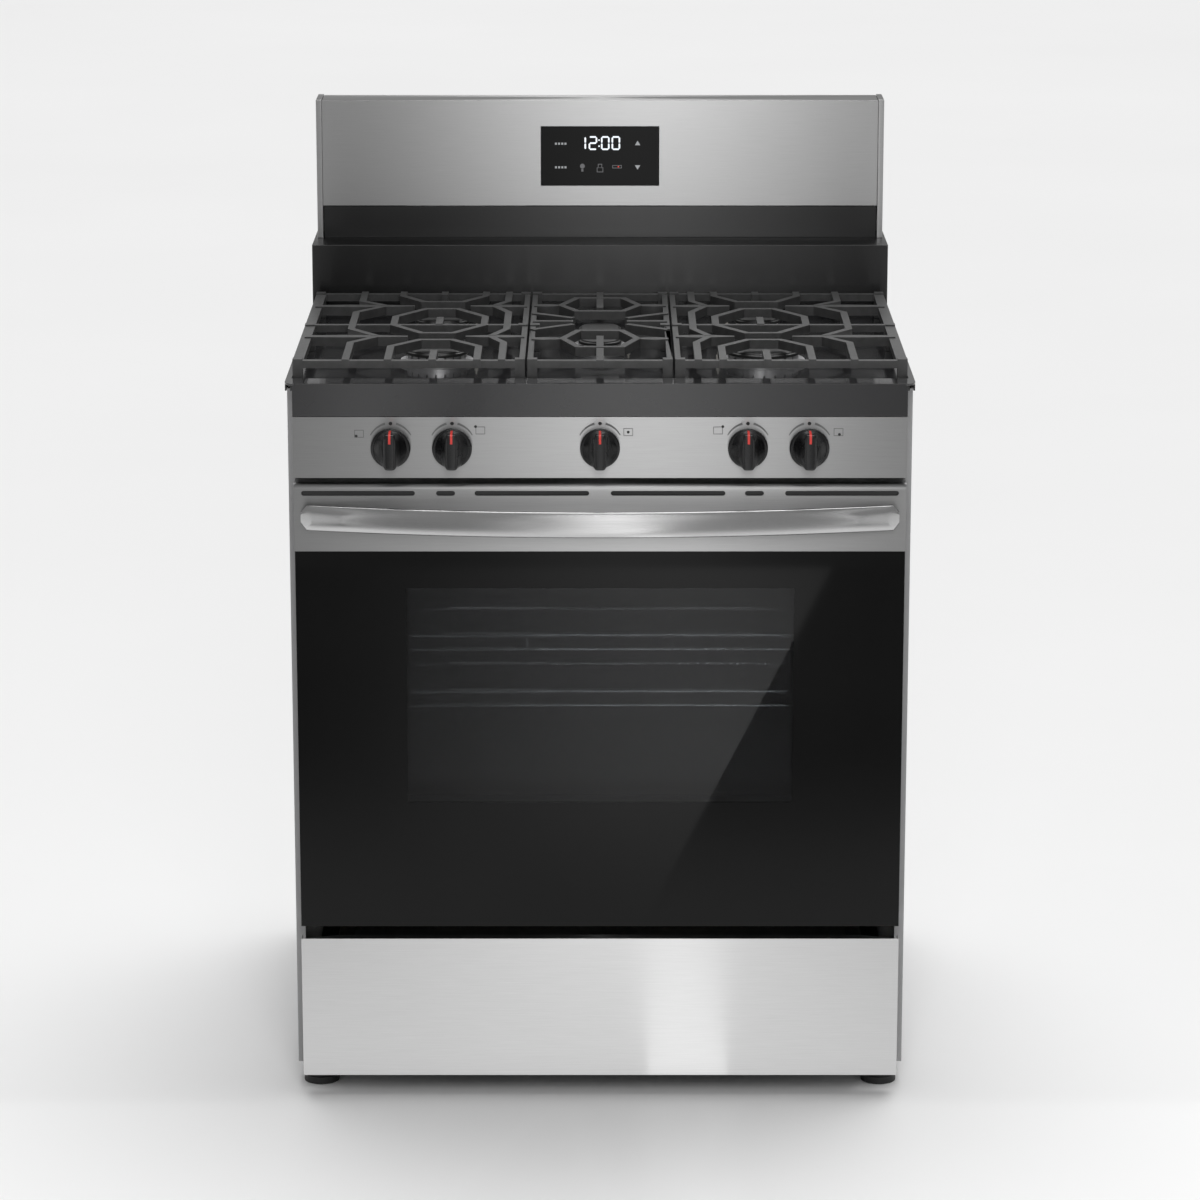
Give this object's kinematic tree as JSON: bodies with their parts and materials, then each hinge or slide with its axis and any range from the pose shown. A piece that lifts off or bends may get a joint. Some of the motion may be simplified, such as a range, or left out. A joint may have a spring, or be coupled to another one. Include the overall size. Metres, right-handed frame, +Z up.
{
  "type": "freestanding gas range",
  "caption": "Freestanding gas range with cast grates over sealed burners, a glass-fronted drop-down oven door, push-to-turn knobs, a storage drawer and a backguard with a clock.",
  "frame": {"origin": "on the floor, under the middle of the range's outer box", "axes": "+X to the right seen from the front, +Y from the door to the back, +Z up"},
  "size_m": [0.759, 0.7239, 1.167],
  "materials": {
    "frame_steel": "satin",
    "side_steel": "satin",
    "galvanised": "satin, zinc coated",
    "black_enamel": "glossy enamel",
    "oven_enamel": "speckled enamel",
    "glass_wool": "loose fibre",
    "gasket_braid": "braided glass rope",
    "burner_steel": "satin",
    "rack_chrome": "polished wire",
    "lamp_glass": "clear",
    "burner_aluminium": "die cast",
    "cap_enamel": "matt enamel",
    "ceramic": "glazed ceramic",
    "valve_brass": "machined",
    "tube_aluminium": "drawn tube",
    "valve_body": "die cast",
    "black_plastic": "moulded",
    "stainless": "brushed along X",
    "black_glass": "black printed, polished",
    "clear_glass": "clear",
    "board": "solder mask",
    "hinge_steel": "zinc plated",
    "nylon": "nylon",
    "cast_iron": "matt enamelled casting",
    "knob_plastic": "black moulded, satin"
  },
  "bodies": {
    "range_body": {"base_frame": "frame_steel", "levelling_legs": "black_plastic", "side_panel_left": "side_steel", "side_panel_right": "side_steel", "rear_panel": "galvanised", "front_frame": "black_enamel", "oven_liner": "oven_enamel", "oven_insulation": "glass_wool", "door_gasket": "gasket_braid", "oven_floor": "oven_enamel", "bake_burner": "burner_steel", "broil_burner": "burner_steel", "rack_guides": "rack_chrome", "oven_racks": "rack_chrome", "oven_lamp": "lamp_glass", "burner_box": "galvanised", "cooktop": "black_enamel", "burner_bases": "burner_aluminium", "burner_caps": "cap_enamel", "igniters": "ceramic", "gas_manifold": "burner_steel", "gas_valves": "valve_brass", "gas_tubes": "tube_aluminium", "gas_regulator": "valve_body", "cord_bushing": "black_plastic", "control_panel": "stainless", "splash_panel": "black_enamel", "backguard_head": "stainless", "backguard_end_caps": "stainless", "display_glass": "black_glass", "control_board": "board", "backguard_cover": "galvanised", "hinge_arms": "hinge_steel", "drawer_rails": "hinge_steel", "rear_screws": "hinge_steel"},
    "door": {"door_glass": "black_glass", "door_trim": "stainless", "door_frame": "black_enamel", "door_liner": "oven_enamel", "door_inner_glass": "clear_glass", "door_insulation": "glass_wool", "door_handle": "stainless", "handle_spacers": "hinge_steel", "hinge_pins": "hinge_steel"},
    "drawer": {"drawer_front": "stainless", "drawer_box": "galvanised", "drawer_glides": "nylon"},
    "grate_l": {"grate_left": "cast_iron"},
    "grate_m": {"grate_middle": "cast_iron"},
    "grate_r": {"grate_right": "cast_iron"},
    "valve_stem_1": {"stem_1": "hinge_steel"},
    "control_knob_1": {"knob_1": "knob_plastic"},
    "valve_stem_2": {"stem_2": "hinge_steel"},
    "control_knob_2": {"knob_2": "knob_plastic"},
    "valve_stem_3": {"stem_3": "hinge_steel"},
    "control_knob_3": {"knob_3": "knob_plastic"},
    "valve_stem_4": {"stem_4": "hinge_steel"},
    "control_knob_4": {"knob_4": "knob_plastic"},
    "valve_stem_5": {"stem_5": "hinge_steel"},
    "control_knob_5": {"knob_5": "knob_plastic"}
  },
  "joints": [
    {"name": "door_hinge", "type": "hinge", "parent": "range_body", "child": "door", "pos_m": [0, -0.285, 0.236], "axis": [1, 0, 0], "range_deg": [0, 88], "stiffness_Nm_per_rad": 6, "springref_deg": -45.84},
    {"name": "drawer_slide", "type": "slide", "parent": "range_body", "child": "drawer", "axis": [0, -1, 0], "range_m": [0, 0.4]},
    {"name": "grate_left_lift", "type": "slide", "parent": "range_body", "child": "grate_l", "axis": [0, 0, 1], "range_m": [0, 0.1]},
    {"name": "grate_middle_lift", "type": "slide", "parent": "range_body", "child": "grate_m", "axis": [0, 0, 1], "range_m": [0, 0.1]},
    {"name": "grate_right_lift", "type": "slide", "parent": "range_body", "child": "grate_r", "axis": [0, 0, 1], "range_m": [0, 0.1]},
    {"name": "knob_1_turn", "type": "hinge", "parent": "range_body", "child": "valve_stem_1", "pos_m": [-0.252, -0.3, 0.827], "axis": [0, -1, 0], "range_deg": [0, 240]},
    {"name": "knob_1_push", "type": "slide", "parent": "valve_stem_1", "child": "control_knob_1", "axis": [0, 1, 0], "range_m": [0, 0.003], "stiffness_N_per_m": 2500, "springref_m": -0.001},
    {"name": "knob_2_turn", "type": "hinge", "parent": "range_body", "child": "valve_stem_2", "pos_m": [-0.178, -0.3, 0.827], "axis": [0, -1, 0], "range_deg": [0, 240]},
    {"name": "knob_2_push", "type": "slide", "parent": "valve_stem_2", "child": "control_knob_2", "axis": [0, 1, 0], "range_m": [0, 0.003], "stiffness_N_per_m": 2500, "springref_m": -0.001},
    {"name": "knob_3_turn", "type": "hinge", "parent": "range_body", "child": "valve_stem_3", "pos_m": [0, -0.3, 0.827], "axis": [0, -1, 0], "range_deg": [0, 240]},
    {"name": "knob_3_push", "type": "slide", "parent": "valve_stem_3", "child": "control_knob_3", "axis": [0, 1, 0], "range_m": [0, 0.003], "stiffness_N_per_m": 2500, "springref_m": -0.001},
    {"name": "knob_4_turn", "type": "hinge", "parent": "range_body", "child": "valve_stem_4", "pos_m": [0.178, -0.3, 0.827], "axis": [0, -1, 0], "range_deg": [0, 240]},
    {"name": "knob_4_push", "type": "slide", "parent": "valve_stem_4", "child": "control_knob_4", "axis": [0, 1, 0], "range_m": [0, 0.003], "stiffness_N_per_m": 2500, "springref_m": -0.001},
    {"name": "knob_5_turn", "type": "hinge", "parent": "range_body", "child": "valve_stem_5", "pos_m": [0.252, -0.3, 0.827], "axis": [0, -1, 0], "range_deg": [0, 240]},
    {"name": "knob_5_push", "type": "slide", "parent": "valve_stem_5", "child": "control_knob_5", "axis": [0, 1, 0], "range_m": [0, 0.003], "stiffness_N_per_m": 2500, "springref_m": -0.001}
  ]
}
